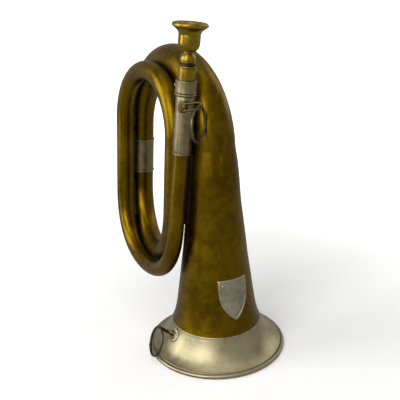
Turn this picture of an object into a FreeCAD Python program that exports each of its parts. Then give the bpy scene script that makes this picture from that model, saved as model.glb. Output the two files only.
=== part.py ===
import FreeCAD, Part
import math
import os

# Military signal bugle, double wound, standing on its bell. Millimetres, +Z up.
# Origin: centre of the bell mouth, in the plane that the rim stands on. The bell's axis is +Z.
# -X points from the bell to the coil, -Y is the side on which the coil and the leadpipe lie.

Vec = FreeCAD.Vector
UP = Vec(0, 0, 1)

# ---- driving dimensions ---------------------------------------------------------------------

WALL = 0.7                       # sheet and tube wall
SOLDER_GAP = 0.05                # radial room of the mouthpiece shank in its socket

# Every straight run is given by its place at REF_Z and by its lean, millimetres per millimetre up.
REF_Z = 150.0
COIL_LEAN = Vec(0.014, 0.062, 1)
PIPE_LEAN = Vec(0.031, 0.101, 1)
BELL_LEAN = Vec(0, 0, 1)
LEADPIPE_AT = Vec(-1.7, -36.4, REF_Z)
FRONT_LEFT_AT = Vec(-118.8, -32.2, REF_Z)
MIDDLE_AT = Vec(-18.0, -31.9, REF_Z)
REAR_LEFT_AT = Vec(-125.1, -9.8, REF_Z)
BELL_AT = Vec(0, 0, REF_Z)

# Heights at which the bows meet the straight runs, and how far each bow reaches beyond them.
FRONT_LOWER_Z, FRONT_LOWER_RISE = 127.8, 57.6
FRONT_UPPER_Z, FRONT_UPPER_RISE = 205.6, 51.4
REAR_LOWER_Z, REAR_LOWER_RISE = 135.3, 54.0
BELL_BOW_Z, BELL_BOW_RISE = 197.6, 66.2
BOW_SECTIONS = 13
# How far the lower bows' shoulders stand outside a half-ellipse, as a share of the bow.
FRONT_LOWER_SQUARE = 0.03
REAR_LOWER_SQUARE = 0.012

# Outer radii along the tube, from the leadpipe to the neck of the bell.
R_LEADPIPE = 7.1
R_FRONT_LEFT = 8.7
R_MIDDLE = 8.8
R_REAR_LOWER = 9.7
R_REAR_LEFT = 11.1
R_NECK = 19.9
R_BELL_BOW = [R_REAR_LEFT, 13.5, 15.9, 18.3, R_NECK]

# Bell: height and outer radius, from the neck down to the garland, then round the flare.
BELL_PROFILE = [
    (BELL_BOW_Z, R_NECK),
    (180, 22.2),
    (140, 25.5),
    (100, 30.0),
    (60, 35.1),
    (42, 37.9),
    (28.5, 41.5),
    (17, 46.6),
    (9, 53.0),
    (4.6, 59.5),
    (3.2, 63.0),
]
GARLAND_TOP_Z = 28.5
GARLAND_WALL = 0.5
RIM_RADIUS = 65.0
BEAD_RADIUS = 1.95
BEAD_Z = 1.75
RIM_WIRE_RADIUS = 1.3

# Heights on the leadpipe's axis.
SLEEVE_BOTTOM_Z = 196.0
SLEEVE_TOP_Z = 245.9
COLLAR_BOTTOM_Z = 248.8
COLLAR_TOP_Z = 259.0
RECEIVER_TOP_Z = 270.9
SLEEVE_RADIUS = 7.85
COLLAR_RADIUS = 9.25
COLLAR_SEAM_BEARING = -105.0
RECEIVER_RADIUS = 7.3
SHANK_DEPTH = 22.0
SHANK_TIP_RADIUS = 4.4
SHANK_MOUTH_RADIUS = 5.3
THROAT_RADIUS = 1.9
WRAP_END_BEARING = -20.0

# Ferrule on the rear left run.
FERRULE_BOTTOM_Z = 144.0
FERRULE_TOP_Z = 178.0
FERRULE_JOINT_Z = 161.0
FERRULE_WALL = 0.3
FERRULE_BEAD = 0.7

# Strap eyes and rings.
EYE_WIRE = 1.0
EYE_HALF_HEIGHT = 2.7
UPPER_PATCH_WALL = 0.75
UPPER_PATCH_BEARING = -43.0
UPPER_EYE_Z = 238.0
UPPER_EYE_ROOT_BEARING = -28.0
UPPER_EYE_BEARING = 24.5
UPPER_EYE_SLOPE = 16.0
UPPER_EYE_REACH = 18.2
UPPER_RING_AT = 12.9
UPPER_RING_BEARING = -51.5
RING_RADIUS = 15.2
RING_WIRE = 1.15
RING_CLEARANCE = 0.45
LOWER_EYE_Z = 20.0
LOWER_EYE_BEARING = -93.0
LOWER_EYE_SLOPE = 41.0
LOWER_EYE_REACH = 20.8
LOWER_RING_BEARING = -12.0
LOWER_RING_RADIUS = 13.5
LOWER_RING_LEAN = 22.0

# Stays between neighbouring tubes.
LEG_STAY_SHIFT = Vec(-3.0, 0.8, 0)
STRIP_BOTTOM_Z = 146.0
STRIP_TOP_Z = 194.0
STRIP_THICKNESS = 1.2
SEAM_FROM, SEAM_TO = 60.0, 140.0
SEAM_SECTIONS = 9
SEAM_SAMPLES = 360
SEAM_THICKNESS = 1.0
SEAM_BITE = 2.0

# Plate on the bell.
PLATE_Z = 62.0
PLATE_BEARING = -3.0
PLATE_HALF_WIDTH = 14.0
PLATE_HALF_HEIGHT = 19.5
PLATE_WALL = 0.8
PLATE_BORDER = 1.6
PLATE_BORDER_WALL = 1.25
RIVET_RADIUS = 1.1


# ---- geometry helpers -----------------------------------------------------------------------

def heading(bearing, slope=0.0):
    """Unit vector at a bearing round +Z, from +X towards +Y, raised by slope degrees."""
    a = math.radians(bearing)
    s = math.radians(slope)
    return Vec(math.cos(a) * math.cos(s), math.sin(a) * math.cos(s), math.sin(s))


def on_run(at, lean, z):
    """Point of a leaning straight run at height z."""
    return at + lean * (z - REF_Z)


def placed(shape, origin, z_axis, x_hint):
    """Moves a shape from the world frame to a frame with the given origin and axes."""
    z = Vec(z_axis).normalize()
    x = (x_hint - z * x_hint.dot(z)).normalize()
    y = z.cross(x)
    m = FreeCAD.Matrix(
        x.x, y.x, z.x, origin.x,
        x.y, y.y, z.y, origin.y,
        x.z, y.z, z.z, origin.z,
        0, 0, 0, 1,
    )
    moved = shape.copy()
    moved.Placement = FreeCAD.Placement(m).multiply(moved.Placement)
    return moved


def turned(path):
    """Revolves a closed outline about Z. Each step is (r, z) for a line, (rm, zm, r, z) for an arc."""
    edges = []
    here = Vec(path[0][0], 0, path[0][1])
    first = here
    for step in path[1:]:
        there = Vec(step[-2], 0, step[-1])
        if len(step) == 4:
            edges.append(Part.Arc(here, Vec(step[0], 0, step[1]), there).toShape())
        else:
            edges.append(Part.LineSegment(here, there).toShape())
        here = there
    if here.sub(first).Length > 1e-6:
        edges.append(Part.LineSegment(here, first).toShape())
    face = Part.Face(Part.Wire(edges))
    return face.revolve(Vec(0, 0, 0), UP, 360)


def frustum(p0, p1, r0, r1):
    """Solid cone or cylinder between two points."""
    axis = p1 - p0
    if abs(r0 - r1) < 1e-6:
        return Part.makeCylinder(r0, axis.Length, p0, axis)
    return Part.makeCone(r0, r1, axis.Length, p0, axis)


def straight_tube(p0, p1, r0, r1, wall=WALL):
    return frustum(p0, p1, r0, r1).cut(frustum(p0, p1, r0 - wall, r1 - wall))


class Bow:
    """Half-turn between two runs. It leaves each run along that run's own lean."""

    def __init__(self, start, end, start_lean, end_lean, rise, radii, square=0.0):
        self.middle = (start + end) * 0.5
        self.half = (start - end) * 0.5
        self.start_lean = start_lean
        self.end_lean = end_lean
        self.rise = rise
        self.radii = radii
        self.square = square

    def point(self, turn):
        share = turn / math.pi
        lean = self.start_lean * (1 - share) + self.end_lean * share
        arm = self.half * math.cos(turn) + lean * (self.rise * math.sin(turn))
        return self.middle + arm * (1 + self.square * math.sin(2 * turn) ** 2)

    def tangent(self, turn):
        step = 1e-4
        return (self.point(turn + step) - self.point(turn - step)).normalize()

    def radius(self, turn):
        share = turn / math.pi * (len(self.radii) - 1)
        i = min(int(share), len(self.radii) - 2)
        return self.radii[i] + (self.radii[i + 1] - self.radii[i]) * (share - i)

    def solid(self, inset):
        """Loft through circles square to the path. All circles start on the same side."""
        side = self.half.cross(self.start_lean).normalize()
        wires = []
        for i in range(BOW_SECTIONS):
            turn = math.pi * i / (BOW_SECTIONS - 1)
            circle = Part.Wire([Part.makeCircle(self.radius(turn) - inset)])
            wires.append(placed(circle, self.point(turn), self.tangent(turn), side))
        return Part.makeLoft(wires, True, False)

    def tube(self):
        return self.solid(0).cut(self.solid(WALL))


def bell_curve(offset):
    """The bell's outline, moved outwards by offset, as one smooth curve."""
    base = Part.BSplineCurve()
    base.interpolate([Vec(r, 0, z) for z, r in BELL_PROFILE])
    if offset == 0:
        return base
    moved = []
    for z, r in BELL_PROFILE:
        u = base.parameter(Vec(r, 0, z))
        t = Vec(base.tangent(u)[0]).normalize()
        outwards = Vec(-t.z, 0, t.x)
        if outwards.x < 0:
            outwards = outwards * -1
        if abs(z - BELL_BOW_Z) < 1e-6:
            outwards = Vec(1, 0, 0)
        moved.append(Vec(r, 0, z) + outwards * offset)
    curve = Part.BSplineCurve()
    curve.interpolate(moved)
    return curve


def bell_skin(inner, outer):
    """Ring of sheet between two offsets of the bell's outline."""
    a = bell_curve(inner)
    b = bell_curve(outer)
    first = Part.LineSegment(b.StartPoint, a.StartPoint).toShape()
    last = Part.LineSegment(a.EndPoint, b.EndPoint).toShape()
    face = Part.Face(Part.Wire([first, a.toShape(), last, b.toShape()]))
    return face.revolve(Vec(0, 0, 0), UP, 360)


def bell_filled(offset=0):
    """The bell as a full body, moved outwards by offset, to trim pieces that sit on it."""
    curve = bell_curve(offset)
    top = Part.LineSegment(Vec(0, 0, BELL_BOW_Z), curve.StartPoint).toShape()
    bottom = Part.LineSegment(curve.EndPoint, Vec(0, 0, curve.EndPoint.z)).toShape()
    axis = Part.LineSegment(Vec(0, 0, curve.EndPoint.z), Vec(0, 0, BELL_BOW_Z)).toShape()
    face = Part.Face(Part.Wire([top, curve.toShape(), bottom, axis]))
    return face.revolve(Vec(0, 0, 0), UP, 360)


def bell_radius(z):
    """Outer radius of the bell at a height, between the profile's points."""
    for (z0, r0), (z1, r1) in zip(BELL_PROFILE, BELL_PROFILE[1:]):
        if z0 >= z >= z1:
            return r0 + (r1 - r0) * (z0 - z) / (z0 - z1)
    raise ValueError("height is off the bell")


def on_leadpipe(shape):
    """Places a shape turned about Z, whose heights are heights on the leadpipe's axis."""
    return placed(shape, on_run(LEADPIPE_AT, PIPE_LEAN, 0), PIPE_LEAN, heading(0))


def along(z):
    """Distance along the leadpipe's axis that reaches height z."""
    return z * PIPE_LEAN.Length


# ---- the tube -------------------------------------------------------------------------------

def run_ends(at, lean, z0, z1):
    return on_run(at, lean, z0), on_run(at, lean, z1)


def make_bows():
    front_lower = Bow(
        on_run(LEADPIPE_AT, PIPE_LEAN, FRONT_LOWER_Z),
        on_run(FRONT_LEFT_AT, COIL_LEAN, FRONT_LOWER_Z),
        PIPE_LEAN, COIL_LEAN, -FRONT_LOWER_RISE, [R_LEADPIPE, R_FRONT_LEFT], FRONT_LOWER_SQUARE,
    )
    front_upper = Bow(
        on_run(FRONT_LEFT_AT, COIL_LEAN, FRONT_UPPER_Z),
        on_run(MIDDLE_AT, COIL_LEAN, FRONT_UPPER_Z),
        COIL_LEAN, COIL_LEAN, FRONT_UPPER_RISE, [R_FRONT_LEFT, R_MIDDLE],
    )
    rear_lower = Bow(
        on_run(MIDDLE_AT, COIL_LEAN, REAR_LOWER_Z),
        on_run(REAR_LEFT_AT, COIL_LEAN, REAR_LOWER_Z),
        COIL_LEAN, COIL_LEAN, -REAR_LOWER_RISE, [R_MIDDLE, R_REAR_LOWER, R_REAR_LEFT], REAR_LOWER_SQUARE,
    )
    bell_bow = Bow(
        on_run(REAR_LEFT_AT, COIL_LEAN, BELL_BOW_Z),
        on_run(BELL_AT, BELL_LEAN, BELL_BOW_Z),
        COIL_LEAN, BELL_LEAN, BELL_BOW_RISE, R_BELL_BOW,
    )
    return front_lower, front_upper, rear_lower, bell_bow


def make_runs():
    """End points and outer radii of the straight runs."""
    runs = {}
    p0, p1 = run_ends(LEADPIPE_AT, PIPE_LEAN, FRONT_LOWER_Z, SLEEVE_TOP_Z)
    runs["leadpipe"] = (p0, p1, R_LEADPIPE, R_LEADPIPE)
    p0, p1 = run_ends(FRONT_LEFT_AT, COIL_LEAN, FRONT_LOWER_Z, FRONT_UPPER_Z)
    runs["front_left_leg"] = (p0, p1, R_FRONT_LEFT, R_FRONT_LEFT)
    p0, p1 = run_ends(MIDDLE_AT, COIL_LEAN, REAR_LOWER_Z, FRONT_UPPER_Z)
    runs["middle_leg"] = (p0, p1, R_MIDDLE, R_MIDDLE)
    p0, p1 = run_ends(REAR_LEFT_AT, COIL_LEAN, REAR_LOWER_Z, FERRULE_JOINT_Z)
    runs["rear_left_leg_lower"] = (p0, p1, R_REAR_LEFT, R_REAR_LEFT)
    p0, p1 = run_ends(REAR_LEFT_AT, COIL_LEAN, FERRULE_JOINT_Z, BELL_BOW_Z)
    runs["rear_left_leg_upper"] = (p0, p1, R_REAR_LEFT, R_REAR_LEFT)
    return runs


def make_ferrule():
    """Sleeve over the joint of the rear left run, with a bead at each end."""
    inner = R_REAR_LEFT
    outer = inner + FERRULE_WALL
    low, high = run_ends(REAR_LEFT_AT, COIL_LEAN, FERRULE_BOTTOM_Z, FERRULE_TOP_Z)
    length = (high - low).Length
    crown = outer + FERRULE_BEAD
    bead = 2 * FERRULE_BEAD
    outline = [
        (inner, 0),
        (outer, 0),
        (crown, bead / 2, outer, bead),
        (outer, length - bead),
        (crown, length - bead / 2, outer, length),
        (inner, length),
    ]
    return placed(turned(outline), low, COIL_LEAN, heading(0))


# ---- the bell -------------------------------------------------------------------------------

def rim_bead(radius):
    return Part.makeTorus(RIM_RADIUS - BEAD_RADIUS, radius, Vec(0, 0, BEAD_Z), UP)


def make_bell_cone():
    """Spun bell of thin sheet. Its edge ends against the rolled bead."""
    return bell_skin(-WALL, 0).cut(rim_bead(BEAD_RADIUS))


def make_garland():
    """Band round the bell mouth, rolled over the rim wire, with a flat ring where it stands."""
    half = RIM_RADIUS + 5
    keep = Part.makeBox(2 * half, 2 * half, GARLAND_TOP_Z, Vec(-half, -half, 0))
    band = bell_skin(0, GARLAND_WALL).common(keep)
    return band.fuse(rim_bead(BEAD_RADIUS).common(keep)).cut(rim_bead(RIM_WIRE_RADIUS)).removeSplitter()


def plate_prism(half_width, half_height):
    """Body with a heater-shield outline, pointing outwards from the bell's axis."""
    top = half_height
    shoulder = half_height * 0.12
    outline = [
        Part.LineSegment(Vec(-half_width, top, 0), Vec(half_width, top, 0)).toShape(),
        Part.LineSegment(Vec(half_width, top, 0), Vec(half_width, shoulder, 0)).toShape(),
        Part.Arc(
            Vec(half_width, shoulder, 0),
            Vec(half_width * 0.68, -half_height * 0.5, 0),
            Vec(0, -half_height, 0),
        ).toShape(),
        Part.Arc(
            Vec(0, -half_height, 0),
            Vec(-half_width * 0.68, -half_height * 0.5, 0),
            Vec(-half_width, shoulder, 0),
        ).toShape(),
        Part.LineSegment(Vec(-half_width, shoulder, 0), Vec(-half_width, top, 0)).toShape(),
    ]
    prism = Part.Face(Part.Wire(outline)).extrude(Vec(0, 0, 60))
    out = heading(PLATE_BEARING)
    return placed(prism, Vec(0, 0, PLATE_Z), out, UP.cross(out))


def make_badge():
    """Blank shield on the bell, its raised border, and the four pins that hold it."""
    out = heading(PLATE_BEARING)
    side = UP.cross(out)
    field = bell_skin(0, PLATE_WALL).common(plate_prism(PLATE_HALF_WIDTH, PLATE_HALF_HEIGHT))
    raised = bell_skin(0, PLATE_BORDER_WALL).common(plate_prism(PLATE_HALF_WIDTH, PLATE_HALF_HEIGHT))
    hollow = plate_prism(PLATE_HALF_WIDTH - PLATE_BORDER, PLATE_HALF_HEIGHT - PLATE_BORDER)
    plate = field.fuse(raised.cut(hollow))
    core = bell_filled()
    pins = []
    corner = PLATE_HALF_WIDTH - 4.2
    for across, up in ((-corner, 14.0), (corner, 14.0), (0, -13.0)):
        start = Vec(0, 0, PLATE_Z + up) + side * across
        head = out * (bell_radius(PLATE_Z + up) * math.cos(math.asin(across / bell_radius(PLATE_Z + up))))
        foot = start + head - out * 2
        top = start + head + out * (PLATE_WALL + 0.2)
        pin = Part.makeCylinder(RIVET_RADIUS, (top - foot).Length, foot, out)
        dome = Part.makeSphere(RIVET_RADIUS * 1.25, top - out * 0.75)
        pins.append(pin.fuse(dome.cut(Part.makeCylinder(3, 3, top - out * 3.4, out))).cut(core))
    rivets = Part.makeCompound(pins)
    for pin in pins:
        plate = plate.cut(pin)
    return plate.removeSplitter(), rivets


# ---- receiver and mouthpiece ----------------------------------------------------------------

def make_sleeve():
    """Long sleeve over the leadpipe, with a rolled lower edge."""
    low, high = along(SLEEVE_BOTTOM_Z), along(SLEEVE_TOP_Z)
    outline = [
        (R_LEADPIPE, low),
        (SLEEVE_RADIUS - 0.1, low),
        (SLEEVE_RADIUS + 0.35, low + 0.7, SLEEVE_RADIUS, low + 1.5),
        (SLEEVE_RADIUS, high),
        (R_LEADPIPE, high),
    ]
    return on_leadpipe(turned(outline))


def make_collar_bead():
    """Half-round ring under the collar."""
    low, high = along(SLEEVE_TOP_Z), along(COLLAR_BOTTOM_Z)
    outline = [
        (RECEIVER_RADIUS, low),
        (COLLAR_RADIUS - 0.9, low),
        (COLLAR_RADIUS - 0.05, (low + high) / 2, COLLAR_RADIUS - 0.9, high),
        (RECEIVER_RADIUS, high),
    ]
    return on_leadpipe(turned(outline))


def make_collar():
    """Collar wrapped round the receiver, with a broad lapped seam and eased edges."""
    low, high = along(COLLAR_BOTTOM_Z), along(COLLAR_TOP_Z)
    r = COLLAR_RADIUS
    outline = [
        (RECEIVER_RADIUS, low),
        (r - 0.4, low),
        (r - 0.1, low + 0.1, r, low + 0.4),
        (r, high - 0.5),
        (r - 0.15, high - 0.15, r - 0.5, high),
        (RECEIVER_RADIUS, high),
    ]
    collar = turned(outline)
    groove = Part.makeBox(1.2, 0.5, high - low - 1.4, Vec(r - 0.35, -0.25, low + 0.9))
    groove.rotate(Vec(0, 0, 0), UP, COLLAR_SEAM_BEARING)
    return on_leadpipe(collar.cut(groove))


def make_receiver():
    """Socket for the mouthpiece: tapered bore, and a rolled bead at its mouth."""
    low, high = along(SLEEVE_TOP_Z), along(RECEIVER_TOP_Z)
    r = RECEIVER_RADIUS
    bore = R_LEADPIPE - WALL
    mouth = SHANK_MOUTH_RADIUS + SOLDER_GAP
    seat = high - SHANK_DEPTH - 1
    seat_radius = SHANK_TIP_RADIUS + SOLDER_GAP - (SHANK_MOUTH_RADIUS - SHANK_TIP_RADIUS) / SHANK_DEPTH
    outline = [
        (bore, low),
        (r, low),
        (r, high - 1.8),
        (r + 0.75, high - 0.9, r, high),
        (mouth, high),
        (seat_radius, seat),
        (bore, seat - 1.2),
    ]
    return on_leadpipe(turned(outline))


def make_mouthpiece():
    """Turned cup mouthpiece: shank, collar, neck, cup and rounded rim, bored right through."""
    base = along(RECEIVER_TOP_Z)
    outline = [
        (SHANK_TIP_RADIUS - 1.2, base - SHANK_DEPTH),
        (SHANK_TIP_RADIUS, base - SHANK_DEPTH),
        (SHANK_MOUTH_RADIUS, base),
        (SHANK_MOUTH_RADIUS, base + 2.9),
        (6.6, base + 2.9),
        (6.9, base + 3.5, 6.6, base + 4.1),
        (6.2, base + 4.3),
        (6.85, base + 4.5),
        (6.7, base + 5.7),
        (6.2, base + 7.6, 5.6, base + 8.75),
        (4.75, base + 9.85, 4.3, base + 10.5),
        (4.35, base + 11.1),
        (5.5, base + 11.75),
        (8.4, base + 14.8, 9.25, base + 20.2),
        (9.25, base + 24.4),
        (8.9, base + 24.9),
        (9.3, base + 25.4),
        (10.25, base + 27.6, 12.9, base + 30.0),
        (13.1, base + 30.2),
        (12.8, base + 30.45),
        (13.9, base + 30.7),
        (15.15, base + 32.5, 14.1, base + 34.4),
        (11.7, base + 34.9, 9.3, base + 33.7),
        (8.6, base + 32.9, 8.4, base + 31.8),
        (7.3, base + 24.5, 4.6, base + 19.9),
        (2.6, base + 18.6, THROAT_RADIUS, base + 16.8),
        (THROAT_RADIUS, base + 13.0),
    ]
    return on_leadpipe(turned(outline))


def make_wire_wrap():
    """Two turns of thin wire round the shank under the mouthpiece's collar, and their loose end."""
    base = along(RECEIVER_TOP_Z)
    wire = 0.42
    radius = SHANK_MOUTH_RADIUS + wire + 0.02
    slant = Vec(0.02, -0.035, 1)
    low = Part.makeTorus(radius, wire, Vec(0, 0, base + 0.72), slant)
    high = Part.makeTorus(radius, wire, Vec(0, 0, base + 2.15), slant)
    wrap = low.fuse(high)
    leaves_at = heading(WRAP_END_BEARING) * radius
    onwards = heading(WRAP_END_BEARING + 90)
    start = leaves_at + UP * (base + 1.95)
    bend = leaves_at + onwards * 3.8 + UP * (base + 1.6)
    end = leaves_at + onwards * 7.8 + UP * (base - 0.7)
    for p, q in ((start, bend), (bend, end)):
        wrap = wrap.fuse(frustum(p, q, wire, wire))
    wrap = wrap.fuse(Part.makeSphere(wire, bend)).fuse(Part.makeSphere(wire, start))
    clear = Part.makeCylinder(SHANK_MOUTH_RADIUS, 8, Vec(0, 0, base - 1), UP)
    return on_leadpipe(wrap.cut(clear))


# ---- strap eyes and rings -------------------------------------------------------------------

def wire_eye(reach, root):
    """Long closed loop of wire along +X, standing in the XZ plane, from root out to reach."""
    h = EYE_HALF_HEIGHT
    tip = reach - EYE_WIRE - h
    upper = Part.LineSegment(Vec(root, 0, h), Vec(tip, 0, h)).toShape()
    end = Part.Arc(Vec(tip, 0, h), Vec(tip + h, 0, 0), Vec(tip, 0, -h)).toShape()
    lower = Part.LineSegment(Vec(tip, 0, -h), Vec(root, 0, -h)).toShape()
    path = Part.Wire([upper, end, lower])
    section = Part.Wire([Part.makeCircle(EYE_WIRE, Vec(root, 0, h), Vec(1, 0, 0))])
    return path.makePipeShell([section], True, False)


def at_upper_root(shape):
    """Moves a shape built along +X to the foot of the upper eye, on the side of the sleeve."""
    foot = heading(UPPER_EYE_ROOT_BEARING) * (SLEEVE_RADIUS + UPPER_PATCH_WALL)
    moved = shape.copy()
    moved.rotate(Vec(0, 0, 0), Vec(0, -1, 0), UPPER_EYE_SLOPE)
    moved.rotate(Vec(0, 0, 0), UP, UPPER_EYE_BEARING)
    moved.translate(foot + UP * along(UPPER_EYE_Z))
    return moved


def make_upper_eye():
    """Saddle patch on the sleeve, and the wire eye that stands out of it."""
    z = along(UPPER_EYE_Z)
    skin = SLEEVE_RADIUS + UPPER_PATCH_WALL
    under = Part.makeCylinder(SLEEVE_RADIUS, 20, Vec(0, 0, z - 10), UP)
    saddle = Part.makeCylinder(skin, 14, Vec(0, 0, z - 7), UP).cut(under)
    oval = Part.Face(Part.Wire([Part.Ellipse(Vec(0, 0, 0), 5.5, 4.4).toShape()])).extrude(Vec(0, 0, 20))
    oval = placed(oval, Vec(0, 0, z), heading(UPPER_PATCH_BEARING), UP)
    block = at_upper_root(Part.makeCylinder(2.1, 3.6, Vec(-2.2, 0, 0), Vec(1, 0, 0))).cut(under)
    patch = saddle.common(oval).fuse(block)
    eye = at_upper_root(wire_eye(UPPER_EYE_REACH, -1.0))
    eye = eye.cut(Part.makeCylinder(skin, 20, Vec(0, 0, z - 10), UP)).cut(patch)
    return on_leadpipe(patch.removeSplitter()), on_leadpipe(eye)


def ring(centre_of_wire, along_ring, out_lean, radius):
    """Ring that hangs from a point on its wire. It lies in the plane of along_ring and its lean."""
    down = out_lean
    centre = centre_of_wire + down * radius
    return Part.makeTorus(radius, RING_WIRE, centre, along_ring.cross(down))


def upper_hinge():
    """Point where the upper ring's wire lies on the lower wire of its eye."""
    foot = on_leadpipe(at_upper_root(Part.Vertex(UPPER_RING_AT, 0, -EYE_HALF_HEIGHT))).Point
    return foot + UP * (EYE_WIRE + RING_WIRE + RING_CLEARANCE)


def make_upper_ring():
    return ring(upper_hinge(), heading(UPPER_RING_BEARING), Vec(0, 0, -1), RING_RADIUS)


def lower_eye_root():
    radius = bell_radius(LOWER_EYE_Z) + GARLAND_WALL
    return heading(LOWER_EYE_BEARING) * radius + Vec(0, 0, LOWER_EYE_Z)


def make_lower_eye():
    """Round patch with a short post on the garland, and the wire eye on it."""
    out = heading(LOWER_EYE_BEARING, LOWER_EYE_SLOPE)
    root = lower_eye_root()
    core = bell_filled(GARLAND_WALL)
    outline = [
        (0, -6),
        (6.6, -6),
        (6.6, 0.2),
        (6.1, 0.9),
        (5.1, 1.3),
        (3.9, 1.6),
        (3.3, 2.2),
        (3.1, 3.2),
        (2.8, 6.6),
        (2.2, 7.2),
        (0, 7.2),
    ]
    post = placed(turned(outline), root, out, UP).cut(core)
    post = max(post.Solids, key=lambda solid: solid.Volume)
    eye = wire_eye(LOWER_EYE_REACH, 3.0)
    eye = placed(eye, root, UP.cross(out).cross(out) * -1, out).cut(post)
    eye = max(eye.Solids, key=lambda solid: solid.Volume)
    return post, eye


def lower_hinge():
    """Point where the lower ring's wire lies in the outer end of its eye."""
    out = heading(LOWER_EYE_BEARING, LOWER_EYE_SLOPE)
    return lower_eye_root() + out * (LOWER_EYE_REACH - 2 * EYE_WIRE - RING_WIRE - RING_CLEARANCE)


def make_lower_ring():
    away = heading(LOWER_RING_BEARING - 90)
    lean = math.radians(LOWER_RING_LEAN)
    down = away * math.sin(lean) - UP * math.cos(lean)
    return ring(lower_hinge(), heading(LOWER_RING_BEARING), down, LOWER_RING_RADIUS)


# ---- solder stays ---------------------------------------------------------------------------

def stay(p, q, radius, neighbours):
    """Short bar between two tube axes, cut back to the tubes' own surfaces."""
    bar = frustum(p, q, radius, radius)
    for body in neighbours:
        bar = bar.cut(body)
    return bar


def solder_strip():
    """Upright strip of sheet from the leadpipe's axis to the bell's axis."""
    sections = []
    for z in (STRIP_BOTTOM_Z, STRIP_TOP_Z):
        p = on_run(LEADPIPE_AT, PIPE_LEAN, z)
        q = Vec(0, 0, z)
        across = UP.cross(q - p).normalize() * (STRIP_THICKNESS / 2)
        sections.append(Part.makePolygon([p - across, q - across, q + across, p + across, p - across]))
    return Part.makeLoft(sections, True, True)


def bow_seam(front, rear):
    """Thin web of solder that joins two bows where they pass close by each other."""
    trace = [front.point(math.pi * i / SEAM_SAMPLES) for i in range(SEAM_SAMPLES + 1)]
    wires = []
    for i in range(SEAM_SECTIONS):
        turn = math.radians(SEAM_FROM + (SEAM_TO - SEAM_FROM) * i / (SEAM_SECTIONS - 1))
        p = rear.point(turn)
        q = min(trace, key=lambda v: (v - p).Length)
        reach = (q - p).normalize()
        across = rear.tangent(turn).cross(reach).normalize() * (SEAM_THICKNESS / 2)
        near = p + reach * (rear.radius(turn) - SEAM_BITE)
        far = q - reach * (front.radii[-1] - SEAM_BITE)
        wires.append(Part.makePolygon([near - across, far - across, far + across, near + across, near - across]))
    web = Part.makeLoft(wires, True, True)
    return web.cut(front.solid(0)).cut(rear.solid(0))


def make_stays(runs, front_upper, bell_bow):
    solid = {name: frustum(*ends) for name, ends in runs.items()}
    solid["rear_left"] = solid["rear_left_leg_lower"].fuse(solid["rear_left_leg_upper"])
    core = bell_filled()
    left = []
    for z in (138.5, 190.0):
        p = on_run(FRONT_LEFT_AT, COIL_LEAN, z) + LEG_STAY_SHIFT
        q = on_run(REAR_LEFT_AT, COIL_LEAN, z) + LEG_STAY_SHIFT
        left.append(stay(p, q, 2.2, [solid["front_left_leg"], solid["rear_left"]]))
    p = on_run(LEADPIPE_AT, PIPE_LEAN, 168)
    q = on_run(MIDDLE_AT, COIL_LEAN, 168)
    pipe_stay = stay(p, q, 3.0, [solid["leadpipe"], solid["middle_leg"]])
    p = on_run(MIDDLE_AT, COIL_LEAN, 150)
    middle_stay = stay(p, Vec(0, 0, 150), 2.6, [solid["middle_leg"], core])
    strip = solder_strip().cut(solid["leadpipe"]).cut(core)
    top = front_upper.point(math.pi * 0.5)
    nearest = min((bell_bow.point(math.pi * i / 60) for i in range(61)), key=lambda v: (v - top).Length)
    bow_stay = stay(top, nearest, 2.8, [front_upper.solid(0), bell_bow.solid(0)])
    return Part.makeCompound(left), pipe_stay, Part.makeCompound([middle_stay, strip]), bow_stay


# ---- assembly -------------------------------------------------------------------------------

def build():
    nodes = {}
    front_lower, front_upper, rear_lower, bell_bow = make_bows()
    nodes["front_lower_bow"] = front_lower.tube()
    nodes["front_upper_bow"] = front_upper.tube()
    nodes["rear_lower_bow"] = rear_lower.tube()
    nodes["bell_bow"] = bell_bow.tube()
    runs = make_runs()
    for name, ends in runs.items():
        nodes[name] = straight_tube(*ends)
    nodes["rear_ferrule"] = make_ferrule()
    nodes["bell_cone"] = make_bell_cone()
    nodes["garland"] = make_garland()
    nodes["rim_wire"] = rim_bead(RIM_WIRE_RADIUS)
    nodes["badge_plate"], nodes["badge_rivets"] = make_badge()
    nodes["leadpipe_sleeve"] = make_sleeve()
    nodes["collar_bead"] = make_collar_bead()
    nodes["receiver_collar"] = make_collar()
    nodes["receiver_tube"] = make_receiver()
    nodes["mouthpiece"] = make_mouthpiece()
    nodes["shank_wire_wrap"] = make_wire_wrap()
    nodes["upper_eyelet_patch"], nodes["upper_eyelet"] = make_upper_eye()
    nodes["upper_strap_ring"] = make_upper_ring()
    nodes["lower_eyelet_patch"], nodes["lower_eyelet"] = make_lower_eye()
    nodes["lower_strap_ring"] = make_lower_ring()
    stays = make_stays(runs, front_upper, bell_bow)
    for name, shape in zip(("left_leg_stays", "leadpipe_stay", "bell_stays", "upper_bow_stay"), stays):
        nodes[name] = shape
    nodes["lower_bow_solder"] = bow_seam(front_lower, rear_lower)
    return nodes


def main():
    os.makedirs("parts", exist_ok=True)
    nodes = build()
    for name, shape in nodes.items():
        if not shape.isValid() or not shape.Solids:
            print("BAD SHAPE", name)
        shape.exportStep("parts/" + name + ".step")
        print(name, len(shape.Solids), round(shape.Volume, 1))
    print("upper hinge", upper_hinge(), "lower hinge", lower_hinge())


main()
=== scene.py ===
import math
from functools import cache

import bpy
from mathutils import Matrix, Vector, noise
from mathutils.bvhtree import BVHTree


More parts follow.
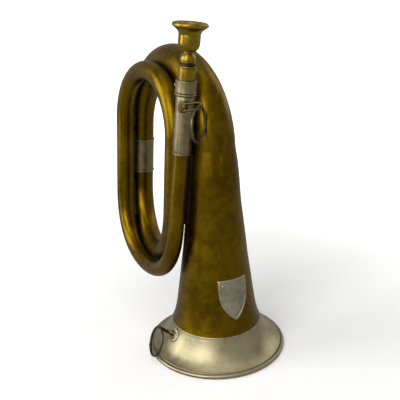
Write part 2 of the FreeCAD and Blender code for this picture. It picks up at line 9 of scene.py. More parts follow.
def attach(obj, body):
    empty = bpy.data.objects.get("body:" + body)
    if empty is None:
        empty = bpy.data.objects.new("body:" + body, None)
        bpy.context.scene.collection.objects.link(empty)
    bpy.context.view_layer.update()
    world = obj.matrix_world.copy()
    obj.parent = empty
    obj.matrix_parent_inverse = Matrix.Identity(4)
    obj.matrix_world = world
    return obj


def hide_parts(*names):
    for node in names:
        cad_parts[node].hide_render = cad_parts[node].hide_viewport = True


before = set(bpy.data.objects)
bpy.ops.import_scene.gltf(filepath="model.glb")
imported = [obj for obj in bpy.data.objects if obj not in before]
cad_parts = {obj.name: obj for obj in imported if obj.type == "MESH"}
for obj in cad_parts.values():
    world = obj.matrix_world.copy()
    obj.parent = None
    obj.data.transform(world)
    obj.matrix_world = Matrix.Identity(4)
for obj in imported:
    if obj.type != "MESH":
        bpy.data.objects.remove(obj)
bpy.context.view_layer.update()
MM = 0.001

# ---- camera ----

CAMERA_AT = Vector((0.4949, -0.3026, 0.3687))
CAMERA_HEADING = math.radians(59.807)      # bearing of the right-hand side of the picture
CAMERA_DOWN = math.radians(20.893)
CAMERA_ROLL = math.radians(-1.575)
CAMERA_LENS, CAMERA_SENSOR, CAMERA_CLIP = 61.873, 36.0, 0.01


def make_camera():
    a, p, r = CAMERA_HEADING, CAMERA_DOWN, CAMERA_ROLL
    right0 = Vector((math.cos(a), math.sin(a), 0))
    ahead = Vector((-math.sin(a) * math.cos(p), math.cos(a) * math.cos(p), -math.sin(p)))
    up0 = Vector((-math.sin(a) * math.sin(p), math.cos(a) * math.sin(p), math.cos(p)))
    right = right0 * math.cos(r) + up0 * math.sin(r)
    up = up0 * math.cos(r) - right0 * math.sin(r)
    data = bpy.data.cameras.new("camera")
    data.lens = CAMERA_LENS
    data.sensor_width = CAMERA_SENSOR
    data.clip_start = CAMERA_CLIP
    camera = bpy.data.objects.new("camera", data)
    bpy.context.scene.collection.objects.link(camera)
    turn = Matrix((right, up, -ahead)).transposed().to_4x4()
    camera.matrix_world = Matrix.Translation(CAMERA_AT) @ turn
    bpy.context.scene.camera = camera


make_camera()
scene = bpy.context.scene
scene.view_settings.view_transform = "Standard"
scene.view_settings.look = "None"

# ---- design dimensions, in millimetres and degrees, as the CAD has them ----

REF_Z = 150.0
WALL = 0.7
UP = Vector((0, 0, 1))
COIL_LEAN = Vector((0.014, 0.062, 1))
PIPE_LEAN = Vector((0.031, 0.101, 1))
BELL_LEAN = Vector((0, 0, 1))
LEADPIPE_AT = Vector((-1.7, -36.4, REF_Z))
FRONT_LEFT_AT = Vector((-118.8, -32.2, REF_Z))
MIDDLE_AT = Vector((-18.0, -31.9, REF_Z))
REAR_LEFT_AT = Vector((-125.1, -9.8, REF_Z))
BELL_AT = Vector((0, 0, REF_Z))
FRONT_LOWER_Z, FRONT_LOWER_RISE = 127.8, 57.6
FRONT_UPPER_Z, FRONT_UPPER_RISE = 205.6, 51.4
REAR_LOWER_Z, REAR_LOWER_RISE = 135.3, 54.0
BELL_BOW_Z, BELL_BOW_RISE = 197.6, 66.2
FRONT_LOWER_SQUARE, REAR_LOWER_SQUARE = 0.03, 0.012
R_LEADPIPE, R_FRONT_LEFT, R_MIDDLE = 7.1, 8.7, 8.8
R_REAR_LOWER, R_REAR_LEFT, R_NECK = 9.7, 11.1, 19.9
R_BELL_BOW = [R_REAR_LEFT, 13.5, 15.9, 18.3, R_NECK]
BELL_PROFILE = [
    (BELL_BOW_Z, R_NECK), (180, 22.2), (140, 25.5), (100, 30.0), (60, 35.1), (42, 37.9),
    (28.5, 41.5), (17, 46.6), (9, 53.0), (4.6, 59.5), (3.2, 63.0),
]
GARLAND_TOP_Z, GARLAND_WALL = 28.5, 0.5
RIM_RADIUS, BEAD_RADIUS, BEAD_Z = 65.0, 1.95, 1.75
SLEEVE_BOTTOM_Z, SLEEVE_TOP_Z = 196.0, 245.9
COLLAR_BOTTOM_Z, COLLAR_TOP_Z = 248.8, 259.0
RECEIVER_TOP_Z = 270.9
SLEEVE_RADIUS, COLLAR_RADIUS, RECEIVER_RADIUS = 7.85, 9.25, 7.3
SHANK_DEPTH, SHANK_TIP_RADIUS, SHANK_MOUTH_RADIUS = 22.0, 4.4, 5.3
THROAT_RADIUS = 1.9
FERRULE_BOTTOM_Z, FERRULE_JOINT_Z, FERRULE_TOP_Z = 144.0, 161.0, 178.0
FERRULE_WALL, FERRULE_BEAD = 0.3, 0.7
EYE_WIRE, EYE_HALF_HEIGHT = 1.0, 2.7
UPPER_PATCH_WALL, UPPER_PATCH_BEARING, UPPER_EYE_Z = 0.75, -43.0, 238.0
UPPER_EYE_ROOT_BEARING, UPPER_EYE_BEARING, UPPER_EYE_SLOPE, UPPER_EYE_REACH = -28.0, 24.5, 16.0, 18.2
UPPER_RING_AT, UPPER_RING_BEARING = 12.9, -51.5
WRAP_END_BEARING = -20.0
RING_RADIUS, RING_WIRE, RING_CLEARANCE = 15.2, 1.15, 0.45
LOWER_EYE_Z, LOWER_EYE_BEARING, LOWER_EYE_SLOPE, LOWER_EYE_REACH = 20.0, -93.0, 41.0, 20.8
LOWER_RING_BEARING, LOWER_RING_RADIUS, LOWER_RING_LEAN = -12.0, 13.5, 22.0
STRIP_BOTTOM_Z, STRIP_TOP_Z, STRIP_THICKNESS, LEG_STAY_SHIFT = 146.0, 194.0, 1.2, Vector((-3.0, 0.8, 0))
SEAM_FROM, SEAM_TO, SEAM_THICKNESS = 60.0, 140.0, 1.0
LEADPIPE_STAY_Z, BELL_STAY_Z = 168.0, 150.0
PLATE_Z, PLATE_BEARING, PLATE_HALF_WIDTH, PLATE_HALF_HEIGHT = 62.0, -3.0, 14.0, 19.5
PLATE_WALL, PLATE_BORDER, PLATE_BORDER_WALL = 0.8, 1.6, 1.25

# ---- values of the looks, in millimetres and degrees ----

SHOULDER_SWELL = 0.35            # front upper bow, thicker near the collar than the CAD's
COLLAR_SEAM_BEARING, COLLAR_SEAM_WIDTH, COLLAR_SEAM_DEPTH = -78.0, 0.84, 0.55
STAY_SUNK, WEB_SUNK = 0.8, 0.5   # depth of their ends in the tubes' walls
STRIP_TAIL = 16.0                # the solder's end below the CAD's strip
SKIN_GAP = 0.02                  # behind a plate or band that lies on a surface
WRAP_THICKNESS, WRAP_STEPS_A_TURN, WRAP_TURNS = 0.42, 47, 2

AROUND = 96                      # columns round a tube
BELL_AROUND = 192                # columns round the bell
STATIONS = 90                    # rows along a bow
ROW_LENGTH = 3.0                 # from row to row of a straight tube
TUBE_WAVE = 17.0                 # length of a tube's unevenness
BOW_MARKS = 200                  # steps that measure a bow's length
TINY = 1e-4                      # shorter than this counts as nothing


def heading(bearing, slope=0.0):
    a, s = math.radians(bearing), math.radians(slope)
    return Vector((math.cos(a) * math.cos(s), math.sin(a) * math.cos(s), math.sin(s)))


def spoke(u, v, a):
    """Direction at angle a in the plane of u and v."""
    return u * math.cos(a) + v * math.sin(a)


def on_run(at, lean, z):
    return at + lean * (z - REF_Z)


# ---- paths: where a ring of a turned or bent tube lies ----

class Straight:
    """Axis from an origin along a direction. The parameter is millimetres along it."""

    def __init__(self, origin, axis, hint):
        self.origin = Vector(origin)
        self.t = Vector(axis).normalized()
        hint = Vector(hint)
        self.u = (hint - self.t * hint.dot(self.t)).normalized()
        self.v = self.t.cross(self.u)

    def frame(self, s):
        return self.origin + self.t * s, self.t, self.u, self.v

    def length(self, s):
        return s


class Bow:
    """Half-turn between two runs, as in the CAD. The parameter is the turn, 0 to pi."""

    def __init__(self, start, end, start_lean, end_lean, rise, radii, square=0.0):
        self.middle, self.half = (start + end) * 0.5, (start - end) * 0.5
        self.start_lean, self.end_lean = start_lean, end_lean
        self.rise, self.radii, self.square = rise, radii, square
        self.side = self.half.cross(start_lean).normalized()
        self.marks = [0.0]
        for i in range(BOW_MARKS):
            a, b = self.point(math.pi * i / BOW_MARKS), self.point(math.pi * (i + 1) / BOW_MARKS)
            self.marks.append(self.marks[-1] + (b - a).length)

    def point(self, turn):
        share = turn / math.pi
        lean = self.start_lean * (1 - share) + self.end_lean * share
        arm = self.half * math.cos(turn) + lean * (self.rise * math.sin(turn))
        return self.middle + arm * (1 + self.square * math.sin(2 * turn) ** 2)

    def frame(self, turn):
        t = (self.point(turn + TINY) - self.point(turn - TINY)).normalized()
        u = (self.side - t * self.side.dot(t)).normalized()
        return self.point(turn), t, u, t.cross(u)

    def length(self, turn):
        x = min(max(turn / math.pi, 0), 1) * BOW_MARKS
        i = min(int(x), BOW_MARKS - 1)
        return self.marks[i] + (self.marks[i + 1] - self.marks[i]) * (x - i)

    def radius(self, turn):
        share = turn / math.pi * (len(self.radii) - 1)
        i = min(int(share), len(self.radii) - 2)
        return self.radii[i] + (self.radii[i + 1] - self.radii[i]) * (share - i)


# ---- mesh helpers ----

made = {}


def add_mesh(name, verts, faces, runs=None, sharp=38.0):
    """Mesh object from vertices in millimetres. runs has each vertex's place on the straightened tube."""
    mesh = bpy.data.meshes.new(name)
    mesh.from_pydata([(v[0] * MM, v[1] * MM, v[2] * MM) for v in verts], [], faces)
    layer = mesh.attributes.new("run", "FLOAT_VECTOR", "POINT")
    layer.data.foreach_set("vector", [c * MM for r in runs or verts for c in r])
    mesh.validate()
    mesh.shade_smooth()
    mesh.set_sharp_from_angle(angle=math.radians(sharp))
    piece = bpy.data.objects.new(name, mesh)
    scene.collection.objects.link(piece)
    made[name] = piece


def stacked(count, size, first=0):
    """Vertex numbers of rings that follow each other."""
    return [list(range(first + size * i, first + size * (i + 1))) for i in range(count)]


def skin(rings):
    """Faces from each ring of vertex numbers to the next. A ring of one vertex is a pole."""
    faces = []
    for a, b in zip(rings, rings[1:]):
        columns = max(len(a), len(b))
        if columns == 1:
            continue
        for k in range(columns):
            n = (k + 1) % columns
            if len(a) == 1:
                faces.append((a[0], b[n], b[k]))
            elif len(b) == 1:
                faces.append((a[k], a[n], b[0]))
            else:
                faces.append((a[k], a[n], b[n], b[k]))
    return faces


def arc(centre, radius, start, end, steps):
    """Points on an arc in the outline's plane, angles in degrees from the outward direction."""
    points = []
    for i in range(steps + 1):
        a = math.radians(start + (end - start) * i / steps)
        points.append((centre[0] + radius * math.cos(a), centre[1] + radius * math.sin(a)))
    return points


def eased(outline, radius, steps=3):
    """The closed outline with its sharper corners rounded off."""
    rounded = []
    count = len(outline)
    for i in range(count):
        p = Vector(outline[i])
        a, b = Vector(outline[i - 1]) - p, Vector(outline[(i + 1) % count]) - p
        bend = math.pi - a.angle(b)
        if bend < math.radians(25):
            rounded.append(tuple(p))
            continue
        cut = min(radius, a.length * 0.45, b.length * 0.45)
        q0, q1 = p + a.normalized() * cut, p + b.normalized() * cut
        for k in range(steps + 1):
            s = k / steps
            rounded.append(tuple(q0 * (1 - s) ** 2 + p * 2 * s * (1 - s) + q1 * s * s))
    return rounded


def spline(points, per_span=6):
    """Smooth curve through points, with chord-length spacing."""
    pts = [Vector(p) for p in points]
    ends = [pts[0] * 2 - pts[1]] + pts + [pts[-1] * 2 - pts[-2]]
    out = []
    for i in range(1, len(ends) - 2):
        p0, p1, p2, p3 = ends[i - 1], ends[i], ends[i + 1], ends[i + 2]
        d0 = max((p1 - p0).length, 1e-6) ** 0.5
        d1 = max((p2 - p1).length, 1e-6) ** 0.5
        d2 = max((p3 - p2).length, 1e-6) ** 0.5
        m1 = (p2 - p1) + ((p1 - p0) / d0 - (p2 - p0) / (d0 + d1)) * d1
        m2 = (p2 - p1) + ((p3 - p2) / d2 - (p3 - p1) / (d1 + d2)) * d1
        for k in range(per_span):
            s = k / per_span
            ease = 2 * s ** 3 - 3 * s ** 2
            place = p1 * (ease + 1) + m1 * (s ** 3 - 2 * s ** 2 + s)
            out.append(place + p2 * -ease + m2 * (s ** 3 - s ** 2))
    out.append(pts[-1])
    return out


def curved(points, per_span):
    return [tuple(p) for p in spline(points, per_span)]


def turned(name, path, outline, columns=AROUND, shift=None, sharp=38.0):
    """Closed outline of (radius, parameter) pairs, carried round a path. A radius of 0 makes a pole."""
    verts, runs, rows = [], [], []
    for r, s in outline:
        centre, t, u, v = path.frame(s)
        reach = path.length(s)
        if r < TINY:
            rows.append([len(verts)])
            verts.append(centre)
            runs.append((0, 0, reach))
            continue
        rows += stacked(1, columns, len(verts))
        for k in range(columns):
            a = 2 * math.pi * k / columns
            side = spoke(u, v, a)
            p = centre + side * r
            if shift:
                p = p + side * shift(p, a, s, r)
            verts.append(p)
            runs.append((r * math.cos(a), r * math.sin(a), reach))
    faces = skin(rows + rows[:1])
    edges = zip(outline, outline[1:] + outline[:1])
    if sum(r0 * s1 - r1 * s0 for (r0, s0), (r1, s1) in edges) < 0:
        faces = [tuple(reversed(f)) for f in faces]
    add_mesh(name, verts, faces, runs, sharp)


WIRE_CAP = (20, 40, 65)          # degrees round the domed end of a wire, from its edge


def wire(name, points, radius, columns=20, closed=False, sharp=60.0):
    """Round wire along points. radius is a number or a function of the share of the length."""
    thick = radius if callable(radius) else (lambda share: radius)
    pts = [Vector(p) for p in points]
    count = len(pts)
    tangents = []
    for i in range(count):
        a = pts[i - 1] if closed or i else pts[0]
        b = pts[(i + 1) % count] if closed or i < count - 1 else pts[-1]
        tangents.append((b - a).normalized())
    u = tangents[0].orthogonal().normalized()
    frames = []
    for i in range(count):
        if i:
            u = tangents[i - 1].rotation_difference(tangents[i]) @ u
        u = (u - tangents[i] * u.dot(tangents[i])).normalized()
        frames.append(u.copy())
    twist = 0.0
    if closed:
        last = tangents[-1].rotation_difference(tangents[0]) @ frames[-1]
        v = tangents[0].cross(frames[0])
        twist = math.atan2(last.dot(v), last.dot(frames[0]))
    verts, runs, rows = [], [], []
    reach = 0.0

    def add_ring(centre, t, u, r, turn):
        v = t.cross(u)
        rows.extend(stacked(1, columns, len(verts)))
        for k in range(columns):
            a = 2 * math.pi * k / columns + turn
            verts.append(centre + spoke(u, v, a) * r)
            runs.append((r * math.cos(a), r * math.sin(a), reach))

    def add_cap_ring(i, outward, r, angle):
        a = math.radians(angle)
        p = pts[i] + tangents[i] * outward * r * math.sin(a)
        add_ring(p, tangents[i], frames[i], r * math.cos(a), 0)

    def add_pole(p, run):
        rows.append([len(verts)])
        verts.append(p)
        runs.append((0, 0, run))

    if not closed:
        add_pole(pts[0] - tangents[0] * thick(0), -thick(0))
        for angle in WIRE_CAP[::-1]:
            add_cap_ring(0, -1, thick(0), angle)
    for i in range(count):
        if i:
            reach += (pts[i] - pts[i - 1]).length
        add_ring(pts[i], tangents[i], frames[i], thick(i / count), -twist * i / count)
    if not closed:
        for angle in WIRE_CAP:
            add_cap_ring(-1, 1, thick(1), angle)
        add_pole(pts[-1] + tangents[-1] * thick(1), reach)
    add_mesh(name, verts, skin(rows + rows[:1] if closed else rows), runs, sharp)


def soft_noise(p, size, seed=0.0):
    """Smooth random value from -1 to 1 that varies over size millimetres."""
    return noise.noise(Vector((p[0] / size + seed, p[1] / size - seed, p[2] / size + seed * 0.5)))


# ---- the tube ----

def tube_waves(depth, seed):
    """Slight unevenness of a hand-bent tube, inwards only."""
    def shift(p, a, s, r):
        return -depth * (0.5 + 0.5 * soft_noise(p, TUBE_WAVE, seed))
    return shift


def straight_piece(name, at, lean, z0, z1, radius, seed):
    path = Straight(on_run(at, lean, z0), lean, (1, 0, 0))
    length = (on_run(at, lean, z1) - on_run(at, lean, z0)).length
    rows = max(8, int(length / ROW_LENGTH))
    outer = [(radius, length * i / rows) for i in range(rows + 1)]
    inner = [(radius - WALL, length), (radius - WALL, 0)]
    turned(name, path, outer + inner, shift=tube_waves(0.05, seed))


def bow_piece(name, bow, seed, columns=AROUND):
    turns = [math.pi * i / STATIONS for i in range(STATIONS + 1)]
    outer = [(bow.radius(turn), turn) for turn in turns]
    inner = [(r - WALL, turn) for r, turn in outer[::-1]]
    turned(name, bow, outer + inner, columns, shift=tube_waves(0.07, seed))


def make_tube():
    bow_piece("front_lower_bow_tube", FRONT_LOWER, 1.0)
    bow_piece("front_upper_bow_tube", FRONT_UPPER, 2.0)
    bow_piece("rear_lower_bow_tube", REAR_LOWER, 3.0)
    bow_piece("bell_bow_tube", BELL_BOW, 4.0, 128)
    straight_piece("leadpipe_tube", LEADPIPE_AT, PIPE_LEAN, FRONT_LOWER_Z, SLEEVE_TOP_Z, R_LEADPIPE, 5.0)
    for name, at, z0, z1, radius, seed in (
            ("front_left_tube", FRONT_LEFT_AT, FRONT_LOWER_Z, FRONT_UPPER_Z, R_FRONT_LEFT, 6.0),
            ("middle_tube", MIDDLE_AT, REAR_LOWER_Z, FRONT_UPPER_Z, R_MIDDLE, 7.0),
            ("rear_left_tube_lower", REAR_LEFT_AT, REAR_LOWER_Z, FERRULE_JOINT_Z, R_REAR_LEFT, 8.0),
            ("rear_left_tube_upper", REAR_LEFT_AT, FERRULE_JOINT_Z, BELL_BOW_Z, R_REAR_LEFT, 8.0)):
        straight_piece(name, at, COIL_LEAN, z0, z1, radius, seed)


FRONT_LOWER = Bow(
    on_run(LEADPIPE_AT, PIPE_LEAN, FRONT_LOWER_Z), on_run(FRONT_LEFT_AT, COIL_LEAN, FRONT_LOWER_Z),
    PIPE_LEAN, COIL_LEAN, -FRONT_LOWER_RISE, [R_LEADPIPE, R_FRONT_LEFT], FRONT_LOWER_SQUARE)
FRONT_UPPER = Bow(
    on_run(FRONT_LEFT_AT, COIL_LEAN, FRONT_UPPER_Z), on_run(MIDDLE_AT, COIL_LEAN, FRONT_UPPER_Z),
    COIL_LEAN, COIL_LEAN, FRONT_UPPER_RISE, [R_FRONT_LEFT, R_MIDDLE, R_MIDDLE + SHOULDER_SWELL, R_MIDDLE])
REAR_LOWER = Bow(
    on_run(MIDDLE_AT, COIL_LEAN, REAR_LOWER_Z), on_run(REAR_LEFT_AT, COIL_LEAN, REAR_LOWER_Z),
    COIL_LEAN, COIL_LEAN, -REAR_LOWER_RISE, [R_MIDDLE, R_REAR_LOWER, R_REAR_LEFT], REAR_LOWER_SQUARE)
BELL_BOW = Bow(
    on_run(REAR_LEFT_AT, COIL_LEAN, BELL_BOW_Z), on_run(BELL_AT, BELL_LEAN, BELL_BOW_Z),
    COIL_LEAN, BELL_LEAN, BELL_BOW_RISE, R_BELL_BOW)


def make_ferrule():
    path = Straight(on_run(REAR_LEFT_AT, COIL_LEAN, FERRULE_BOTTOM_Z), COIL_LEAN, (1, 0, 0))
    high = (FERRULE_TOP_Z - FERRULE_BOTTOM_Z) * COIL_LEAN.length
    inner, outer = R_REAR_LEFT + 0.01, R_REAR_LEFT + FERRULE_WALL
    b = FERRULE_BEAD
    outline = [(inner, 0), (outer, 0)]
    outline += arc((outer, b), b, -80, 80, 8)
    outline += [(outer, high * i / 8) for i in range(1, 8)]
    outline += arc((outer, high - b), b, -80, 80, 8)
    outline += [(outer, high), (inner, high)]
    turned("rear_ferrule_band", path, outline)


# ---- the bell ----

BELL_CURVE = [(p[1], p[0]) for p in spline(BELL_PROFILE, 12)]


BELL_AXIS = Straight((0, 0, 0), UP, heading(0))


@cache
def bell_offset(offset):
    """The bell's outline moved outwards, as (radius, height) pairs from the neck down."""
    moved = []
    count = len(BELL_CURVE)
    for i, (r, z) in enumerate(BELL_CURVE):
        a, b = BELL_CURVE[max(i - 1, 0)], BELL_CURVE[min(i + 1, count - 1)]
        t = Vector((b[0] - a[0], b[1] - a[1])).normalized()
        n = Vector((-t.y, t.x)) if i else Vector((1, 0))
        moved.append((r + n.x * offset, z + n.y * offset))
    return moved


def bell_radius(z, offset=0.0):
    curve = bell_offset(offset)
    for (r0, z0), (r1, z1) in zip(curve, curve[1:]):
        if z0 >= z >= z1:
            return r0 + (r1 - r0) * (z0 - z) / (z0 - z1)
    return curve[0][0] if z > curve[0][1] else curve[-1][0]


DENTS = (                        # bearing, height, width, depth
    (-35, 168, 9.0, 0.35), (-72, 122, 12.0, 0.4), (-18, 112, 15.0, 0.45), (38, 95, 14.0, 0.5),
    (120, 60, 12.0, 0.6), (165, 130, 10.0, 0.5), (-100, 70, 10.0, 0.35), (-50, 45, 9.0, 0.3),
    (-140, 100, 13.0, 0.5), (75, 150, 11.0, 0.5),
)
dent_spots = [(heading(bearing) * bell_radius(z) + UP * z, size, deep) for bearing, z, size, deep in DENTS]


def bell_dents(p, a, s, r):
    """Shallow dents and the long waves of spun sheet, inwards only, none near the garland or the neck."""
    depth = 0.05 * (1 + soft_noise(p, 34.0, 11.0)) + 0.03 * soft_noise(p, 13.0, 4.0)
    for spot, size, deep in dent_spots:
        depth += deep * math.exp(-(p - spot).length_squared / (size * size))
    fade = min(1.0, max(0.0, (s - 30.0) / 12.0)) * min(1.0, max(0.0, (BELL_BOW_Z - s) / 10.0))
    return -depth * fade


def make_bell():
    edge = RIM_RADIUS - 2 * BEAD_RADIUS
    outside = [p for p in bell_offset(0) if p[0] < edge]
    inside = [p for p in bell_offset(-WALL) if p[0] < edge]
    turned("bell_cone_spun", BELL_AXIS, outside + inside[::-1], BELL_AROUND, shift=bell_dents)


def make_garland():
    top, top_r = GARLAND_TOP_Z, bell_radius(GARLAND_TOP_Z, GARLAND_WALL)
    lip = [(top_r - GARLAND_WALL + SKIN_GAP, top), (top_r - 0.15, top)]
    lip += [(top_r + 0.08, top - 0.25), (top_r + 0.22, top - 0.7), (top_r + 0.3, top - 1.4)]
    outside = [p for p in bell_offset(GARLAND_WALL) if p[1] < top - 1.9 and p[0] < RIM_RADIUS - 3.4]
    inside = [p for p in bell_offset(SKIN_GAP) if p[1] < top and p[0] < RIM_RADIUS - 3.6]
    centre = (RIM_RADIUS - BEAD_RADIUS, BEAD_Z)
    bead = arc(centre, BEAD_RADIUS, 128, -62, 26)
    foot = [(centre[0] + 0.9, 0.0), (centre[0] - 0.9, 0.0)]
    under = arc(centre, BEAD_RADIUS, 242, 165, 8)
    turned("garland_band", BELL_AXIS, lip + outside + bead + foot + under + inside[::-1], BELL_AROUND)


# ---- badge plate ----

def shield(inset):
    """Shield outline, moved inwards."""
    w, h = PLATE_HALF_WIDTH - inset, PLATE_HALF_HEIGHT - inset
    shoulder = PLATE_HALF_HEIGHT * 0.12
    points = [(-w + 2 * w * i / 16, h) for i in range(17)]
    points += [(w, h + (shoulder - h) * i / 8) for i in range(1, 9)]
    bulge = Vector((w * 0.68, -h * 0.5))
    tip = Vector((0, -h))
    side = Vector((w, shoulder))
    control = bulge * 2 - (side + tip) * 0.5
    flank = []
    for i in range(1, 19):
        s = i / 18
        q = side * (1 - s) ** 2 + control * 2 * s * (1 - s) + tip * s * s
        flank.append((q.x, q.y))
    points += flank
    points += [(-x, y) for x, y in flank[-2::-1]]
    points += [(-w, shoulder + (h - shoulder) * i / 8) for i in range(0, 8)]
    return points


def on_bell(across, up, lift, bearing=PLATE_BEARING, z=PLATE_Z):
    """Point that stands lift off the bell, at a place measured on the plate's flat outline."""
    out = heading(bearing)
    side = UP.cross(out)
    r = bell_radius(z + up, lift)
    return Vector((0, 0, z + up)) + side * across + out * math.sqrt(max(r * r - across * across, 0))


def make_badge():
    border, field, high = PLATE_BORDER, PLATE_WALL, PLATE_BORDER_WALL
    steps = [(0.0, SKIN_GAP), (0.0, high * 0.75), (0.12, high * 0.93), (0.35, high), (border - 0.45, high),
             (border - 0.15, high * 0.95), (border, field + 0.1), (border + 0.15, field)]
    verts = [on_bell(x, y, lift) for inset, lift in steps for x, y in shield(inset)]
    inner, shares = shield(border + 0.15), [1 - k / 10 for k in range(1, 10)]
    verts += [on_bell(x * share, y * share, field) for share in shares for x, y in inner]
    n = len(inner)
    front = stacked(len(steps) + len(shares), n) + [[len(verts)]]
    verts.append(on_bell(0, 0, field))
    shares = (0.8, 0.6, 0.4, 0.2)
    back = stacked(len(shares), n, len(verts)) + [[len(verts) + len(shares) * n]]
    verts += [on_bell(x * share, y * share, SKIN_GAP) for share in shares for x, y in shield(0)]
    verts.append(on_bell(0, 0, SKIN_GAP))
    faces = [tuple(reversed(f)) for f in skin(back[::-1] + front)]
    add_mesh("badge_plate_shield", verts, faces, sharp=50)


def make_rivets():
    side, high, low = PLATE_HALF_WIDTH - 4.2, 14.0, -13.0
    profile = [(0.0, 0.62), (0.5, 0.56), (0.95, 0.36), (1.25, 0.0), (1.25, -0.5), (0.0, -0.5)]
    verts, faces = [], []
    for across, up in ((-side, high), (side, high), (0, low)):
        path = Straight(on_bell(across, up, PLATE_WALL), heading(PLATE_BEARING), UP)
        rings = []
        for r, s in profile:
            centre, t, u, v = path.frame(s)
            columns = 20 if r else 1
            rings += stacked(1, columns, len(verts))
            verts += [centre + spoke(u, v, 2 * math.pi * k / columns) * r for k in range(columns)]
        faces += skin(rings[::-1])
    add_mesh("badge_rivet_heads", verts, faces, sharp=60)


# ---- receiver and mouthpiece ----

LEAD_AXIS = Straight(on_run(LEADPIPE_AT, PIPE_LEAN, 0), PIPE_LEAN, heading(0))


def along(z):
    return z * PIPE_LEAN.length


def make_sleeve():
    low, high = along(SLEEVE_BOTTOM_Z), along(SLEEVE_TOP_Z)
    r = SLEEVE_RADIUS
    outline = [(R_LEADPIPE + SKIN_GAP, low + 0.1), (r - 0.25, low)]
    outline += arc((r - 0.35, low + 0.72), 0.7, -70, 70, 8)
    outline += [(r, low + 1.7 + (high - low - 1.9) * i / 14) for i in range(15)]
    outline += [(r - 0.15, high), (R_LEADPIPE + SKIN_GAP, high)]
    turned("leadpipe_sleeve_band", LEAD_AXIS, outline, shift=tube_waves(0.03, 9.0))


def make_collar_bead():
    low, high = along(SLEEVE_TOP_Z), along(COLLAR_BOTTOM_Z)
    mid = (low + high) / 2
    outline = [(RECEIVER_RADIUS + SKIN_GAP, low + 0.05), (COLLAR_RADIUS - 1.1, low + 0.05)]
    outline += arc((COLLAR_RADIUS - 1.25, mid), 1.2, -68, 68, 12)
    outline += [(COLLAR_RADIUS - 1.1, high - 0.05), (RECEIVER_RADIUS + SKIN_GAP, high - 0.05)]
    turned("collar_bead_ring", LEAD_AXIS, outline)


def make_collar():
    low, high = along(COLLAR_BOTTOM_Z), along(COLLAR_TOP_Z)
    r = COLLAR_RADIUS
    outline = eased([
        (RECEIVER_RADIUS + SKIN_GAP, low), (r - 0.02, low), (r, low + 0.9), (r - 0.28, low + 1.0),
        (r - 0.28, high - 1.1), (r, high - 1.0), (r - 0.05, high), (RECEIVER_RADIUS + SKIN_GAP, high)], 0.2)

    def shift(p, a, s, radius):
        if radius < RECEIVER_RADIUS + 0.3:
            return 0.0
        gap = abs((math.degrees(a) - COLLAR_SEAM_BEARING + 180) % 360 - 180) * math.pi / 180 * r
        seam = COLLAR_SEAM_DEPTH * max(0.0, 1 - (gap / (COLLAR_SEAM_WIDTH / 2)) ** 2)
        return -seam - 0.02 * (1 + soft_noise(p, 6.0, 3.0))

    turned("receiver_collar_band", LEAD_AXIS, outline, 220, shift=shift)


def make_receiver():
    low, high = along(SLEEVE_TOP_Z), along(RECEIVER_TOP_Z)
    r = RECEIVER_RADIUS
    bore = R_LEADPIPE - WALL
    mouth = SHANK_MOUTH_RADIUS + 0.05
    seat = high - SHANK_DEPTH - 1
    seat_radius = SHANK_TIP_RADIUS + 0.05 - (SHANK_MOUTH_RADIUS - SHANK_TIP_RADIUS) / SHANK_DEPTH
    outline = [(bore, low), (r - 0.1, low), (r, low + 0.2), (r, high - 2.6), (r, high - 1.9)]
    outline += arc((r - 0.1, high - 0.92), 0.86, -72, 78, 12)
    outline += [(mouth + 0.3, high), (mouth, high - 0.25), (seat_radius, seat), (bore, seat - 1.2)]
    turned("receiver_tube_socket", LEAD_AXIS, outline)


def make_mouthpiece():
    """Up the outside from the shank's tip, over the rim and down the bore."""
    base = along(RECEIVER_TOP_Z)
    tip, mouth = SHANK_TIP_RADIUS, SHANK_MOUTH_RADIUS
    curve = [
        (tip - 1.2, -SHANK_DEPTH), (tip - 0.1, -SHANK_DEPTH), (tip, -SHANK_DEPTH + 0.15),
        (mouth, 0), (mouth, 2.75), (mouth + 0.15, 2.9), (6.3, 2.92)]
    curve += arc((6.3, 3.5), 0.58, -80, 80, 8)
    curve += [(6.25, 4.15), (6.2, 4.32), (6.7, 4.38)]
    curve += curved([(6.83, 4.6), (6.72, 5.7), (6.4, 7.2), (5.6, 8.75), (4.7, 9.9), (4.3, 10.5)], 4)
    curve += [(4.3, 10.8), (4.4, 11.15), (4.7, 11.35)]
    curve += curved([
        (5.0, 11.5), (5.5, 11.75), (7.1, 12.9), (8.4, 14.8), (9.1, 17.4), (9.25, 20.2), (9.24, 24.4)], 5)
    curve += [(9.2, 24.7), (8.98, 24.85), (8.94, 25.0), (9.15, 25.15)]
    curve += curved([(9.3, 25.4), (9.75, 26.8), (10.7, 28.2), (12.0, 29.4), (12.85, 30.0)], 5)
    curve += [(13.05, 30.2), (12.8, 30.45), (13.3, 30.6)]
    curve += curved([
        (13.9, 30.75), (14.75, 31.4), (15.08, 32.5), (14.85, 33.6), (14.05, 34.35), (12.9, 34.72),
        (11.6, 34.72), (10.3, 34.35), (9.3, 33.65)], 4)
    curve += curved([
        (8.75, 32.8), (8.3, 31.2), (7.9, 28.2), (6.9, 24.2), (5.2, 20.6), (3.4, 18.7), (2.3, 17.8),
        (THROAT_RADIUS, 16.4)], 4)
    curve += [(THROAT_RADIUS, 13.0)]

    def shift(p, a, s, r):
        return -0.02 * (1 + soft_noise(p, 5.0, 6.0)) if r > 6 else 0.0

    turned("mouthpiece_cup", LEAD_AXIS, [(r, base + s) for r, s in curve], 128, shift=shift)


